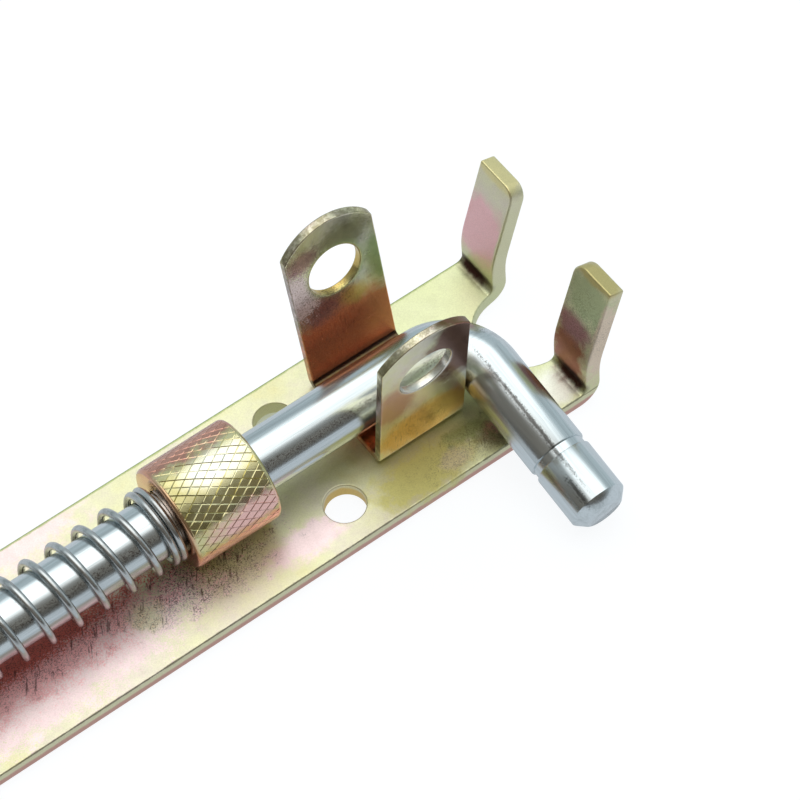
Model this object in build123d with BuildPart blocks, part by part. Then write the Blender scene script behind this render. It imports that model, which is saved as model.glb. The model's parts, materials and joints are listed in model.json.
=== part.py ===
"""Padlockable spring bolt: a sprung round bolt with an L handle on a forked back plate.

The frame has its origin on the back of the plate, in the middle of the four screw holes.
+X runs along the bolt towards the handle, +Y across the plate and +Z out of the mounting surface.
"""

import os
from math import asin, atan2, cos, hypot, radians, sin

from build123d import *

# Back plate, millimetres
plate_width = 54.0
plate_thickness = 4.5
plate_corner_radius = 3.0
plate_edge_radius = 0.5
plate_rear_margin = 5.5
screw_pitch_x = 196.0
screw_pitch_y = 31.5
screw_hole_diameter = 11.0
screw_rim_radius = 0.4

# Fork: a round-ended notch and two prongs folded up from the plate
notch_radius = 13.0
prong_gap = 11.5
prong_height = 36.5
prong_fold_radius = 2.0
prong_straight = 4.0
prong_lean_angle = 17.0
prong_lean_radius = 30.0
prong_corner_radius = 4.0

# Guide bushes
bush_diameter = 28.6
bush_length = 25.0
bush_edge_radius = 0.9
bush_seat_depth = 0.2
bush_to_screws = 16.7
bore_clearance = 0.25

# Padlock bracket
sheet_thickness = 2.5
bracket_length = 26.5
bracket_to_screws = 13.6
bracket_offset = 3.7
bracket_fold_radius = 1.0
bracket_edge_radius = 0.4
ear_gap = 27.2
ear_splay = 7.5
ear_shoulder_height = 47.7
ear_crown_height = 54.4
ear_shoulder_radius = 0.8
padlock_hole_diameter = 15.4
padlock_hole_height = 36.9

# Bolt
rod_diameter = 16.0
rod_bend_radius = 13.0
handle_length = 60.5
handle_clearance = 0.65
tip_clearance = 0.2
tip_chamfer = 2.6
groove_from_tip = 18.2
groove_width = 2.4
groove_depth = 0.6
nose_overhang = 10.0

# Spring, washer and stop pin
wire_diameter = 2.0
coil_diameter = 19.8
coil_pitch = 7.8
active_turns = 12.0
closed_turns = 1.6
closed_pitch = 2.15
spring_end_angle = 246.0
spring_clearance = 0.2
washer_diameter = 22.0
washer_thickness = 2.0
washer_clearance = 0.3
pin_diameter = 5.0
pin_length = 22.0
pin_clearance = 0.05

# Places along the bolt, from the hidden end to the handle
screw_x = screw_pitch_x / 2
front_bush_front_x = screw_x - bush_to_screws
front_bush_rear_x = front_bush_front_x - bush_length
rear_bush_front_x = -screw_x - bush_to_screws
rear_bush_rear_x = rear_bush_front_x - bush_length
bracket_rear_x = screw_x + bracket_to_screws
bracket_front_x = bracket_rear_x + bracket_length
bracket_middle_x = bracket_rear_x + bracket_length / 2
rod_radius = rod_diameter / 2
handle_x = bracket_front_x + handle_clearance + rod_radius
prong_face_x = handle_x + rod_radius + prong_gap
plate_rear_x = rear_bush_rear_x - plate_rear_margin
nose_x = rear_bush_rear_x - nose_overhang
rod_z = plate_thickness + bush_diameter / 2 - bush_seat_depth

# The spring fills the space between the front bush and the washer on the stop pin
spring_turns = active_turns + 2 * closed_turns
spring_length = active_turns * coil_pitch + 2 * closed_turns * closed_pitch
spring_front_x = front_bush_rear_x - spring_clearance - wire_diameter / 2
spring_rear_x = spring_front_x - spring_length
washer_front_x = spring_rear_x - wire_diameter / 2 - spring_clearance
washer_rear_x = washer_front_x - washer_thickness
pin_x = washer_rear_x - washer_clearance - pin_diameter / 2

# The bracket's ears leave its base through a fold that stops short of upright
ear_fold_angle = 90 - ear_splay
base_half_width = ear_gap / 2 - bracket_fold_radius * sin(radians(ear_fold_angle))
ear_length = ear_crown_height / cos(radians(ear_splay))

# The laid-down handle droops until the edge of its tip meets the mounting surface
tip_edge_reach = handle_length - tip_chamfer
tip_edge_angle = asin((rod_z - tip_clearance) / hypot(tip_edge_reach, rod_radius))
droop = tip_edge_angle - atan2(rod_radius, tip_edge_reach)

os.makedirs("parts", exist_ok=True)


with BuildPart() as back_plate:
    with BuildSketch(Plane.XZ):
        with BuildLine():
            fold_start_x = prong_face_x - prong_fold_radius
            upper_face = Line((plate_rear_x, plate_thickness), (fold_start_x, plate_thickness))
            fold = JernArc(upper_face @ 1, upper_face % 1, prong_fold_radius, 90)
            post = Line(fold @ 1, fold @ 1 + (fold % 1) * prong_straight)
            lean = JernArc(post @ 1, post % 1, prong_lean_radius, -prong_lean_angle)
            blade_rise = plate_thickness + prong_height - (lean @ 1).Y
            blade_length = blade_rise / cos(radians(prong_lean_angle))
            Line(lean @ 1, lean @ 1 + (lean % 1) * blade_length)
            offset(amount=plate_thickness, side=Side.RIGHT)
        make_face()
    extrude(amount=plate_width / 2, both=True)

    # The notch runs up between the prongs and out of the plate's front end
    with BuildSketch(Plane.XY):
        with Locations((prong_face_x, 0)):
            Circle(notch_radius)
            Rectangle(prong_height, 2 * notch_radius, align=(Align.MIN, Align.CENTER))
    extrude(amount=plate_thickness + 2 * prong_height, mode=Mode.SUBTRACT)

    with GridLocations(screw_pitch_x, screw_pitch_y, 2, 2):
        Hole(screw_hole_diameter / 2)

    rear_corners = back_plate.edges().filter_by(Axis.Z).group_by(Axis.X)[0]
    fillet(rear_corners, plate_corner_radius)
    prong_tops = back_plate.faces().sort_by(Axis.Z)[-2:]
    inner_corners = [top.edges().sort_by(lambda edge: abs(edge.center().Y))[0] for top in prong_tops]
    fillet(inner_corners, prong_corner_radius)

    front_surface = back_plate.faces().filter_by(Plane.XY).sort_by(Axis.Z)[1]
    fillet(front_surface.inner_wires().edges(), screw_rim_radius)

    # Every cut edge of the strip is rounded: the sides, the rear end, the notch and the prong tops
    side_walls = back_plate.faces().filter_by(Axis.Y)
    rear_wall = back_plate.faces().filter_by(Axis.X).sort_by(Axis.X)[0]
    curved_walls = back_plate.faces().filter_by(GeomType.CYLINDER)
    notch_wall = curved_walls.sort_by(lambda wall: abs(wall.radius - notch_radius))[0]
    prong_tops = back_plate.faces().sort_by(Axis.Z)[-2:]
    cut_edges = side_walls.edges() + rear_wall.edges() + notch_wall.edges() + prong_tops.edges()
    fillet(cut_edges, plate_edge_radius)
back_plate.part.label = "back_plate"
export_step(back_plate.part, "parts/back_plate.step")


def guide_bush(front_x):
    """Guide bush, rounded at both ends and flattened where it is welded to the plate."""
    with BuildPart(Plane.YZ.offset(front_x - bush_length)) as bush:
        with Locations((0, rod_z)):
            Cylinder(bush_diameter / 2, bush_length, align=(Align.CENTER, Align.CENTER, Align.MIN))
        fillet(bush.edges().filter_by(GeomType.CIRCLE), bush_edge_radius)
        split(bisect_by=Plane.XY.offset(plate_thickness), keep=Keep.TOP)
        with Locations((0, rod_z)):
            Hole(rod_radius + bore_clearance)
    return bush


front_bush = guide_bush(front_bush_front_x)
front_bush.part.label = "front_bush"
export_step(front_bush.part, "parts/front_bush.step")

rear_bush = guide_bush(rear_bush_front_x)
rear_bush.part.label = "rear_bush"
export_step(rear_bush.part, "parts/rear_bush.step")


base_centre = (bracket_rear_x, bracket_offset, plate_thickness + sheet_thickness)
bracket_section = Plane(origin=base_centre, x_dir=(0, 1, 0), z_dir=(1, 0, 0))
ear_plane = Plane.XZ.offset(-bracket_offset)

with BuildPart() as padlock_bracket:
    with BuildSketch(bracket_section):
        with BuildLine():
            base = Line((-base_half_width, 0), (base_half_width, 0))
            far_fold = JernArc(base @ 1, base % 1, bracket_fold_radius, ear_fold_angle)
            Line(far_fold @ 1, far_fold @ 1 + (far_fold % 1) * ear_length)
            near_fold = JernArc(base @ 0, (base % 0) * -1, bracket_fold_radius, -ear_fold_angle)
            Line(near_fold @ 1, near_fold @ 1 + (near_fold % 1) * ear_length)
            offset(amount=sheet_thickness, side=Side.RIGHT)
        make_face()
    extrude(amount=bracket_length)

    # Both ears are cut to one outline, square at the foot and arched at the top
    with BuildSketch(ear_plane) as ear_outline:
        with BuildLine():
            rear_foot = (bracket_rear_x, plate_thickness)
            front_foot = (bracket_front_x, plate_thickness)
            rear_shoulder = (bracket_rear_x, plate_thickness + ear_shoulder_height)
            front_shoulder = (bracket_front_x, plate_thickness + ear_shoulder_height)
            crown = (bracket_middle_x, plate_thickness + ear_crown_height)
            Polyline(rear_shoulder, rear_foot, front_foot, front_shoulder)
            ThreePointArc(front_shoulder, crown, rear_shoulder)
        make_face()
        fillet(ear_outline.vertices().group_by(Axis.Y)[-1], ear_shoulder_radius)
    extrude(amount=plate_width, both=True, mode=Mode.INTERSECT)

    with BuildSketch(ear_plane):
        with Locations((bracket_middle_x, plate_thickness + padlock_hole_height)):
            Circle(padlock_hole_diameter / 2)
    extrude(amount=plate_width, both=True, mode=Mode.SUBTRACT)

    end_walls = padlock_bracket.faces().filter_by(Axis.X)
    crown_walls = padlock_bracket.faces().sort_by(Axis.Z)[-2:]
    round_walls = padlock_bracket.faces().filter_by(GeomType.CYLINDER)
    hole_walls = round_walls.sort_by(lambda wall: abs(wall.radius - padlock_hole_diameter / 2))[:2]
    fillet(end_walls.edges() + crown_walls.edges() + hole_walls.edges(), bracket_edge_radius)
padlock_bracket.part.label = "padlock_bracket"
export_step(padlock_bracket.part, "parts/padlock_bracket.step")


handle_plane = Plane(origin=(0, 0, rod_z), x_dir=(1, 0, 0), z_dir=(0, sin(droop), -cos(droop)))
handle_tip = handle_plane.from_local_coords((handle_x, handle_length, 0))
handle_end = Plane(origin=handle_tip, z_dir=handle_plane.y_dir)

with BuildPart() as bolt_rod:
    with BuildLine(handle_plane) as rod_path:
        FilletPolyline((nose_x, 0), (handle_x, 0), (handle_x, handle_length), radius=rod_bend_radius)
    with BuildSketch(Plane.YZ.offset(nose_x)):
        with Locations((0, rod_z)):
            Circle(rod_radius)
    sweep(path=rod_path.line)
    nose_face = bolt_rod.faces().sort_by(Axis.X)[0]
    handle_face = bolt_rod.faces().sort_by(Axis.Y)[0]
    chamfer(nose_face.edges() + handle_face.edges(), tip_chamfer)

    # Turned groove near the end of the handle
    with BuildSketch(handle_end.offset(-groove_from_tip)):
        Circle(rod_diameter)
        Circle(rod_radius - groove_depth, mode=Mode.SUBTRACT)
    extrude(amount=groove_width / 2, both=True, mode=Mode.SUBTRACT)

    # Cross hole for the stop pin
    with BuildSketch(Plane.XZ):
        with Locations((pin_x, rod_z)):
            Circle(pin_diameter / 2 + pin_clearance)
    extrude(amount=rod_diameter, both=True, mode=Mode.SUBTRACT)
bolt_rod.part.label = "bolt_rod"
export_step(bolt_rod.part, "parts/bolt_rod.step")


with BuildPart() as stop_pin:
    with BuildSketch(Plane.XZ):
        with Locations((pin_x, rod_z)):
            Circle(pin_diameter / 2)
    extrude(amount=pin_length / 2, both=True)
stop_pin.part.label = "stop_pin"
export_step(stop_pin.part, "parts/stop_pin.step")


with BuildPart() as spring_washer:
    with BuildSketch(Plane.YZ.offset(washer_rear_x)):
        with Locations((0, rod_z)):
            Circle(washer_diameter / 2)
            Circle(rod_radius + washer_clearance, mode=Mode.SUBTRACT)
    extrude(amount=washer_thickness)
spring_washer.part.label = "spring_washer"
export_step(spring_washer.part, "parts/spring_washer.step")


rod_axis = Axis((0, 0, rod_z), (1, 0, 0))
helix_start_angle = 90.0

with BuildPart() as compression_spring:
    with BuildLine() as coil_path:
        coil_x = spring_rear_x
        coil_angle = spring_end_angle - 360 * spring_turns
        coil_runs = ((closed_turns, closed_pitch), (active_turns, coil_pitch), (closed_turns, closed_pitch))
        for turns, pitch in coil_runs:
            run_length = pitch * turns
            run_centre = (coil_x, 0, rod_z)
            coil = Helix(pitch, run_length, coil_diameter / 2, run_centre, (1, 0, 0), mode=Mode.PRIVATE)
            add(coil.rotate(rod_axis, coil_angle - helix_start_angle))
            coil_x += run_length
            coil_angle += 360 * turns
    wire_path = coil_path.wire()
    with BuildSketch(Plane(origin=wire_path @ 0, z_dir=wire_path % 0)):
        Circle(wire_diameter / 2)
    sweep(path=wire_path, is_frenet=True)
compression_spring.part.label = "compression_spring"
export_step(compression_spring.part, "parts/compression_spring.step")
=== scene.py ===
"""Padlockable spring bolt: finishes, smooth meshes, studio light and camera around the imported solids."""

import json
import logging
import math
from dataclasses import dataclass
from enum import Enum
from typing import Iterable, Sequence

import bmesh
import bpy
from mathutils import Matrix, Vector

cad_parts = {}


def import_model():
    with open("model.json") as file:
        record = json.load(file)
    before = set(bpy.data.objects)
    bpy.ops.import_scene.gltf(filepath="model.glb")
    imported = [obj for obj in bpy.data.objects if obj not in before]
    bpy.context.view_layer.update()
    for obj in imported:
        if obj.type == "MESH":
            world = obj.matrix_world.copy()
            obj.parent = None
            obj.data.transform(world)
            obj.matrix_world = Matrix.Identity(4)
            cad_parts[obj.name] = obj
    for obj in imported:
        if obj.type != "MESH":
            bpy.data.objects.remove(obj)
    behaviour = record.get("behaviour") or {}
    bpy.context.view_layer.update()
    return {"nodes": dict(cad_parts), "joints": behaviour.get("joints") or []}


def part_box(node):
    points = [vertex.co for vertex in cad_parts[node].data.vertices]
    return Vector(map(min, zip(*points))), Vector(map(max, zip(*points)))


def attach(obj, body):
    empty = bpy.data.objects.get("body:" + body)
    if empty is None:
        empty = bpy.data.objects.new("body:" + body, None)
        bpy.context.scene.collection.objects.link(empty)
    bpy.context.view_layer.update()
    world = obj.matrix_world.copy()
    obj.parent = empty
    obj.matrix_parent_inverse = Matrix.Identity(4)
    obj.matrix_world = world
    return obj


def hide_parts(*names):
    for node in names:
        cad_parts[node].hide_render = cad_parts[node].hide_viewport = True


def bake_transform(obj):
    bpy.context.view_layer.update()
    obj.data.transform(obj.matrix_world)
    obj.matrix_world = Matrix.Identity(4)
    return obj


Colour = tuple[float, float, float, float]
Triple = tuple[float, float, float]
Pair = tuple[float, float]
Node = bpy.types.Node
Socket = bpy.types.NodeSocket
NodeTree = bpy.types.NodeTree
Material = bpy.types.Material
Object = bpy.types.Object
Shape = bmesh.types.BMesh
Edges = list[bmesh.types.BMEdge]

LOG = logging.getLogger("spring_bolt")
MM = 0.001
PICTURE_PIXELS = 800
SENSOR_WIDTH = 36.0
X_AXIS = Vector((1.0, 0.0, 0.0))
Y_AXIS = Vector((0.0, 1.0, 0.0))
Z_AXIS = Vector((0.0, 0.0, 1.0))
EVEN = (1.0, 1.0, 1.0)
WELD_GAP = 0.0005 * MM
SPIN_GAP = 0.001 * MM
SEAM_GAP = 0.002 * MM
CUT_GAP = 0.0001 * MM


def srgb(red: int, green: int, blue: int) -> Colour:
    """Turns a screen colour into the linear one that shaders take.

    Args:
        red: Red from 0 to 255.
        green: Green from 0 to 255.
        blue: Blue from 0 to 255.

    Returns:
        Linear red, green, blue and a full alpha.
    """
    shares = (channel / 255 for channel in (red, green, blue))
    linear = [s / 12.92 if s <= 0.04045 else ((s + 0.055) / 1.055) ** 2.4 for s in shares]
    return (linear[0], linear[1], linear[2], 1.0)


class Body(Enum):
    """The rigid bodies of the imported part."""

    FRAME = "frame"
    SLIDER = "slider"
    BOLT = "bolt"


class Slot(Enum):
    """The record's material slots."""

    YELLOW_ZINC = "yellow_zinc"
    BRIGHT_ZINC = "bright_zinc"
    SPRING_WIRE = "spring_wire"


class Graph:
    """A node tree with short calls that add nodes and wire them."""

    MIX_SOCKETS = (0, 6, 7)
    MIX_RESULT = 2

    def __init__(self, tree: NodeTree) -> None:
        """Keeps the tree that the nodes go into."""
        self.tree = tree

    def add(self, kind: str, **settings: object) -> Node:
        """Adds a node.

        Args:
            kind: The node's type name.
            **settings: Properties to set on it.

        Returns:
            The new node.
        """
        node = self.tree.nodes.new(kind)
        for name, value in settings.items():
            setattr(node, name, value)
        return node

    def feed(self, socket: Socket, value: object) -> None:
        """Links a socket into another, or sets a plain value on it.

        Args:
            socket: The socket that takes the value.
            value: Another socket or a plain value.
        """
        if isinstance(value, Socket):
            self.tree.links.new(value, socket)
        else:
            socket.default_value = value

    def fill(self, node: Node, *values: object, **inputs: object) -> Node:
        """Feeds a node's inputs.

        Args:
            node: The node.
            *values: Sockets or plain values for the first inputs, in order.
            **inputs: The same by name, with spaces in the names as underscores.

        Returns:
            The node.
        """
        for socket, value in zip(node.inputs, values):
            self.feed(socket, value)
        for name, value in inputs.items():
            self.feed(node.inputs[name.replace("_", " ")], value)
        return node

    def place(self, group: NodeTree, *values: object) -> Sequence[Socket]:
        """Places a shared effect, feeds its inputs in order and returns its outputs."""
        return self.fill(self.add("ShaderNodeGroup", node_tree=group), *values).outputs

    def math(self, operation: str, *values: object) -> Socket:
        """Adds a math node and returns its result."""
        return self.fill(self.add("ShaderNodeMath", operation=operation), *values).outputs[0]

    def vector(self, operation: str, *values: object) -> Node:
        """Adds a vector math node."""
        return self.fill(self.add("ShaderNodeVectorMath", operation=operation), *values)

    def dot(self, first: object, second: object) -> Socket:
        """Adds a dot product of two vectors and returns its value."""
        return self.vector("DOT_PRODUCT", first, second).outputs["Value"]

    def length(self, vector: Node) -> Socket:
        """Adds a node that measures another node's vector and returns its length."""
        return self.vector("LENGTH", vector.outputs["Vector"]).outputs["Value"]

    def swing(self, noise: Socket, amount: object) -> Socket:
        """Centres a noise on 0 and scales it."""
        return self.math("MULTIPLY", self.math("SUBTRACT", noise, 0.5), amount)

    def ease(self, value: object, low: object, high: object) -> Socket:
        """Adds a smooth step, from 0 at the low value to 1 at the high one, and returns it."""
        step = self.add("ShaderNodeMapRange", interpolation_type="SMOOTHSTEP")
        return self.fill(step, Value=value, From_Min=low, From_Max=high).outputs["Result"]

    def noise(self, vector: object, scale: object, detail: float, roughness: float) -> Socket:
        """Adds a noise texture and returns its value."""
        texture = self.add("ShaderNodeTexNoise")
        return self.fill(texture, Vector=vector, Scale=scale, Detail=detail, Roughness=roughness).outputs[0]

    def mix(self, share: object, first: object, second: object, blend: str = "MIX") -> Socket:
        """Adds a colour mix.

        Args:
            share: How much of the second colour.
            first: The colour at share 0.
            second: The colour at share 1.
            blend: The blend type.

        Returns:
            The mixed colour.
        """
        node = self.add("ShaderNodeMix", data_type="RGBA", blend_type=blend)
        for index, value in zip(self.MIX_SOCKETS, (share, first, second)):
            self.feed(node.inputs[index], value)
        return node.outputs[self.MIX_RESULT]

    def ramp(self, value: object, stops: Sequence[tuple[float, Colour]]) -> Socket:
        """Adds a colour ramp.

        Args:
            value: The place along the ramp.
            stops: Places and colours, in order.

        Returns:
            The colour at that place.
        """
        node = self.add("ShaderNodeValToRGB")
        elements = node.color_ramp.elements
        while len(elements) < len(stops):
            elements.new(1.0)
        for element, (place, colour) in zip(elements, stops):
            element.position = place
            element.color = colour
        return self.fill(node, Fac=value).outputs["Color"]

    def turn(self, vector: Socket, axis: str, angle: float, centre: Triple = (0.0, 0.0, 0.0)) -> Socket:
        """Adds a node that turns a place round an axis and returns the new place."""
        node = self.add("ShaderNodeVectorRotate", rotation_type=axis)
        return self.fill(node, Vector=vector, Center=centre, Angle=angle).outputs["Vector"]


class SharedEffects:
    """The node groups that more than one finish uses, each built once.

    A noise is given by its scale, detail and roughness, without the scale where that is an input. A step
    is given by where its mask is still 0 and where it has reached 1.
    """

    FILM_STOPS = (
        (0.00, srgb(202, 184, 118)),
        (0.22, srgb(226, 214, 150)),
        (0.38, srgb(236, 232, 192)),
        (0.50, srgb(238, 228, 210)),
        (0.62, srgb(230, 196, 194)),
        (0.74, srgb(214, 166, 172)),
        (0.86, srgb(212, 206, 176)),
        (1.00, srgb(200, 214, 150)),
    )
    CLOUD = (7.0, 0.68)
    RAGGED = (0.22, 6.0, 0.7)
    SPECKS = (2.2, 3.0, 0.7)
    ZONE_STEP = (0.35, 1.0)
    FINE_GRAIN = (4.0, 0.65)
    SLOW_GRAIN = (3.0, 0.6)
    SLOW_SHARE = 0.12
    WARP = (0.9, 4.0, 0.5)
    TORN = (0.5, 5.0, 0.7)
    PITS = (2.6, 5.0, 0.8)
    STAIN_STEP = (0.5, 0.6)
    PIT_SHARE = 0.9

    def __init__(self) -> None:
        """Builds every group."""
        self.build_film()
        self.build_zone()
        self.build_grain()
        self.build_cracks()

    @staticmethod
    def start(
        name: str, vectors: Sequence[str], values: Sequence[str], made: Sequence[str], kind: str = "Float"
    ) -> tuple[NodeTree, Graph, Sequence[Socket], Node]:
        """Starts a shader node group.

        Args:
            name: The group's name.
            vectors: The names of the vectors that go in.
            values: The names of the plain values that go in.
            made: The names of what comes out.
            kind: The kind of socket that comes out.

        Returns:
            The group, its graph, the sockets of what goes in, and the node that takes what comes out.
        """
        group = bpy.data.node_groups.new(name, "ShaderNodeTree")
        kinds = (("INPUT", "Vector", vectors), ("INPUT", "Float", values), ("OUTPUT", kind, made))
        for way, kind_name, labels in kinds:
            for label in labels:
                group.interface.new_socket(name=label, in_out=way, socket_type="NodeSocket" + kind_name)
        graph = Graph(group)
        return group, graph, graph.add("NodeGroupInput").outputs, graph.add("NodeGroupOutput")

    def build_film(self) -> None:
        """Builds the colours of a chromate film from its thickness, clouded by noise."""
        values = ("Thickness", "Cloud Scale", "Clouding")
        started = self.start("passivate_film", ("Position",), values, ("Colour",), "Color")
        self.film, graph, given, made = started
        cloud = graph.noise(given["Position"], given["Cloud Scale"], *self.CLOUD)
        depth = graph.math("ADD", given["Thickness"], graph.swing(cloud, given["Clouding"]))
        graph.fill(made, Colour=graph.ramp(depth, self.FILM_STOPS))

    def build_zone(self) -> None:
        """Builds the mask of a patch with a frayed edge around one place."""
        vectors = ("Position", "Centre", "Reach")
        values = ("Fray", "Grit", "Amount")
        self.zone, graph, given, made = self.start("frayed_zone", vectors, values, ("Mask",))
        position = given["Position"]
        offset = graph.vector("SUBTRACT", position, given["Centre"]).outputs["Vector"]
        away = graph.length(graph.vector("DIVIDE", offset, given["Reach"]))
        swing = graph.swing(graph.noise(position, *self.RAGGED), given["Fray"])
        shake = graph.swing(graph.noise(position, *self.SPECKS), given["Grit"])
        edge = graph.ease(graph.math("ADD", away, graph.math("ADD", swing, shake)), *self.ZONE_STEP)
        mask = graph.math("MULTIPLY", graph.math("SUBTRACT", 1.0, edge), given["Amount"])
        graph.fill(made, Mask=graph.math("MINIMUM", mask, 1.0))

    def build_grain(self) -> None:
        """Builds a fine drawn grain, as a height and as a slower mottle."""
        started = self.start("metal_grain", ("Position", "Stretch"), ("Scale",), ("Height", "Mottle"))
        self.grain, graph, given, made = started
        drawn = graph.vector("MULTIPLY", given["Position"], given["Stretch"]).outputs["Vector"]
        slow = graph.math("MULTIPLY", given["Scale"], self.SLOW_SHARE)
        height = graph.noise(drawn, given["Scale"], *self.FINE_GRAIN)
        graph.fill(made, Height=height, Mottle=graph.noise(drawn, slow, *self.SLOW_GRAIN))

    def build_cracks(self) -> None:
        """Builds dark pits and broken hairlines that gather in patches."""
        values = ("Scale", "Width")
        self.cracks, graph, given, made = self.start("stain_cracks", ("Position",), values, ("Mask",))
        position = given["Position"]
        bent = graph.noise(position, *self.WARP).node.outputs["Color"]
        warped = graph.vector("ADD", position, bent).outputs["Vector"]
        cells = graph.add("ShaderNodeTexVoronoi", feature="DISTANCE_TO_EDGE")
        gap = graph.fill(cells, Vector=warped, Scale=given["Scale"]).outputs["Distance"]
        line = graph.math("SUBTRACT", 1.0, graph.ease(gap, 0.0, given["Width"]))
        broken = graph.ease(graph.noise(position, *self.TORN), *self.STAIN_STEP)
        pits = graph.ease(graph.noise(position, *self.PITS), *self.STAIN_STEP)
        pits = graph.math("MULTIPLY", pits, self.PIT_SHARE)
        graph.fill(made, Mask=graph.math("MAXIMUM", graph.math("MULTIPLY", line, broken), pits))


@dataclass(frozen=True)
class Tint:
    """A patch of another colour, which may hide some of the metal, in millimetres: mostly the film's own
    colour, in a few places painted shade or a painted highlight.
    """

    centre: Triple
    reach: Triple
    colour: Colour
    amount: float = 1.0
    fray: float = 1.0
    dull: float = 0.0
    grit: float = 0.0


class Metal:
    """A metal's material in the making."""

    STAIN_SCALE = 1.1
    STAIN_WIDTH = 0.09

    def __init__(self, name: str, effects: SharedEffects) -> None:
        """Starts with a bare shader and the place on the piece, in millimetres.

        Args:
            name: The material's name.
            effects: The shared node groups.
        """
        self.effects = effects
        self.material = bpy.data.materials.new(name)
        self.material.use_nodes = True
        self.material.node_tree.nodes.clear()
        self.graph = Graph(self.material.node_tree)
        self.shader = self.graph.add("ShaderNodeBsdfPrincipled")
        self.graph.fill(self.graph.add("ShaderNodeOutputMaterial"), Surface=self.shader.outputs["BSDF"])
        where = self.graph.add("ShaderNodeTexCoord").outputs
        self.facing = where["Normal"]
        millimetres = self.graph.vector("MULTIPLY", where["Object"], (1 / MM, 1 / MM, 1 / MM))
        self.position = millimetres.outputs["Vector"]

    def zone(self, tint: Tint, position: Socket) -> Socket:
        """Places the mask of one patch and returns it."""
        patch = (tint.centre, tint.reach, tint.fray, tint.grit, tint.amount)
        return self.graph.place(self.effects.zone, position, *patch)["Mask"]

    def paint(
        self, colour: Socket, tints: Sequence[Tint], position: Socket, pattern: Socket | None = None
    ) -> Socket:
        """Lays patches over a colour, whole or only where a pattern shows.

        Args:
            colour: The colour below.
            tints: The patches.
            position: The place on the piece.
            pattern: The pattern's mask, if there is one.

        Returns:
            The painted colour.
        """
        for tint in tints:
            mask = self.zone(tint, position)
            if pattern is not None:
                mask = self.graph.math("MULTIPLY", pattern, mask)
            colour = self.graph.mix(mask, colour, tint.colour)
        return colour

    def stain(self, colour: Socket, stains: Sequence[Tint], position: Socket) -> Socket:
        """Lays pits and hairlines over a colour, patch by patch, and returns the stained colour."""
        cracks = self.graph.place(self.effects.cracks, position, self.STAIN_SCALE, self.STAIN_WIDTH)
        return self.paint(colour, stains, position, cracks["Mask"])

    def grain(self, position: Socket, stretch: Triple, scale: float) -> Sequence[Socket]:
        """Places a drawn grain and returns its height and mottle."""
        return self.graph.place(self.effects.grain, position, stretch, scale)

    def roughen(self, pattern: Socket, roughness: float, swing: float) -> None:
        """Lets a pattern swing the roughness about its middle value."""
        value = self.graph.math("MULTIPLY_ADD", pattern, swing, roughness - swing / 2)
        self.graph.fill(self.shader, Roughness=value)

    def bump(self, height: Socket, strength: float, distance: float) -> None:
        """Feeds a height into the shader's normal.

        Args:
            height: The height, from 0 to 1.
            strength: How strongly it shows.
            distance: How much a full step is, in metres.
        """
        bump = self.graph.add("ShaderNodeBump")
        self.graph.fill(bump, Strength=strength, Distance=distance, Height=height)
        self.graph.fill(self.shader, Normal=bump.outputs["Normal"])


@dataclass(frozen=True)
class CutFaces:
    """The darker, uneven film on the sheared faces of a sheet."""

    broad_way: Triple
    colour: Colour
    amount: float
    edge_step: Pair = (0.85, 0.5)
    torn_step: Pair = (0.3, 0.6)

    def lay(self, metal: Metal, colour: Socket) -> Socket:
        """Lays the film over the faces that look across the sheet.

        Args:
            metal: The material in the making.
            colour: The colour below.

        Returns:
            The colour with the cut faces dressed.
        """
        graph = metal.graph
        broad = graph.math("ABSOLUTE", graph.dot(metal.facing, self.broad_way))
        torn = graph.ease(graph.noise(metal.position, *SharedEffects.TORN), *self.torn_step)
        cut = graph.math("MULTIPLY", graph.ease(broad, *self.edge_step), torn)
        return graph.mix(graph.math("MULTIPLY", cut, self.amount), colour, self.colour)


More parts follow.
